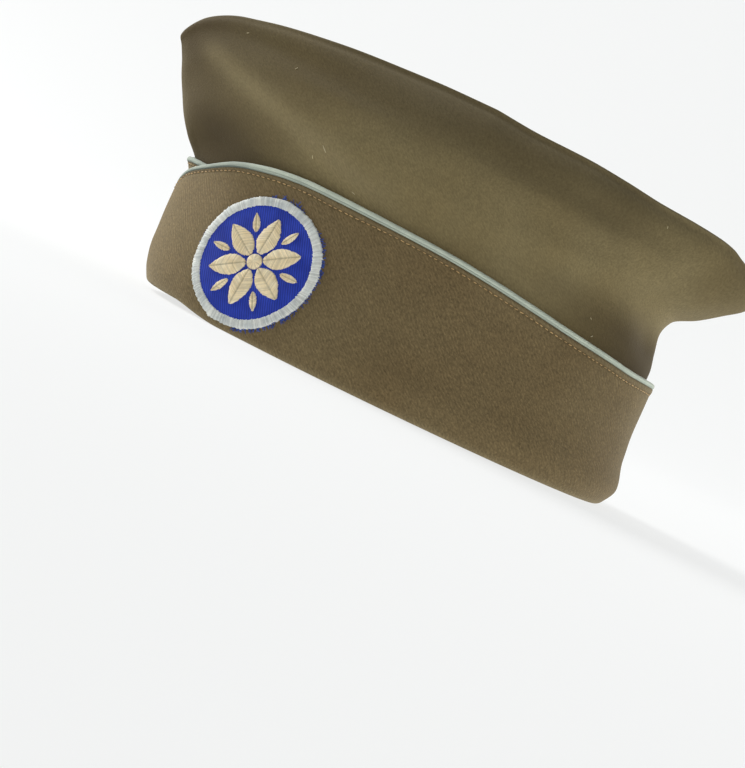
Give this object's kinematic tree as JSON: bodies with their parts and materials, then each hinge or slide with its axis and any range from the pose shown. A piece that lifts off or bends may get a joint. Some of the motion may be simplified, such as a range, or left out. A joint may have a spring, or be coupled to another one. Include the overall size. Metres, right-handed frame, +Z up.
{
  "type": "garrison cap",
  "caption": "Folding wool cap with a boat-shaped crown, a turned-up piped curtain that overlaps in front, and a round embroidered patch on the left.",
  "frame": {"origin": "centre of the bounding box on the surface the rim rests on", "axes": "-X towards the wearer's front, -Y towards the wearer's left, +Z up out of the crown"},
  "size_m": [0.2734, 0.159, 0.131],
  "materials": {
    "wool_twill": "matte brownish olive wool twill with a soft nap",
    "piping_cloth": "pale greyish blue-green cloth cord, slightly satin",
    "patch_twill": "royal blue cotton twill",
    "border_thread": "off-white satin-stitched thread, worn",
    "motif_thread": "cream satin-stitched thread"
  },
  "bodies": {
    "root": {"crown_side_left": "wool_twill", "crown_side_right": "wool_twill", "crown_top": "wool_twill", "curtain_left": "wool_twill", "curtain_right": "wool_twill", "piping_left": "piping_cloth", "piping_right": "piping_cloth", "patch_ground": "patch_twill", "patch_border": "border_thread", "patch_petal_1": "motif_thread", "patch_petal_2": "motif_thread", "patch_petal_3": "motif_thread", "patch_petal_4": "motif_thread", "patch_petal_5": "motif_thread", "patch_petal_6": "motif_thread", "patch_boss": "motif_thread"}
  },
  "joints": []
}
